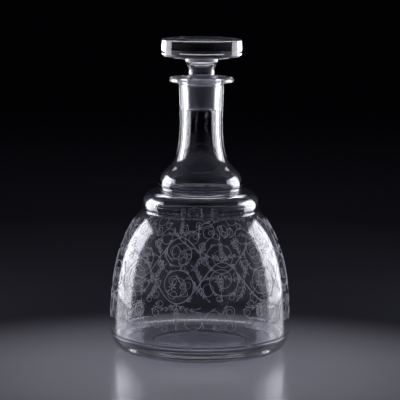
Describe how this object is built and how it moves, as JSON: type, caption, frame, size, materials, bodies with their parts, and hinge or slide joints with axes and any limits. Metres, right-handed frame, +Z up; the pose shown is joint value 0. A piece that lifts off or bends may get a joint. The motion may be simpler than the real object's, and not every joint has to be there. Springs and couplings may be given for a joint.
{
  "type": "stoppered bottle",
  "caption": "Clear crystal decanter with a bell-shaped body, stepped shoulder tiers, thick neck, flat rim and a lift-out ground-glass stopper with a disc finial.",
  "frame": {"origin": "centre of the base, on the plane that the resting ring stands on", "axes": "+Z up along the axis of the bottle and its stopper; X and Y are free to choose because every piece is a turned shape"},
  "size_m": [0.1382, 0.1382, 0.2392],
  "materials": {
    "crystal_bottle": "clear blown crystal, polished, with fine frosted engraving round the body",
    "crystal_stopper": "clear solid crystal, cut and polished, with a ground matt plug"
  },
  "bodies": {
    "bottle": {"bottle": "crystal_bottle"},
    "stopper": {"stopper": "crystal_stopper"}
  },
  "joints": [
    {"name": "stopper_lift", "type": "slide", "parent": "bottle", "child": "stopper", "axis": [0, 0, 1], "range_m": [0, 0.07]}
  ]
}
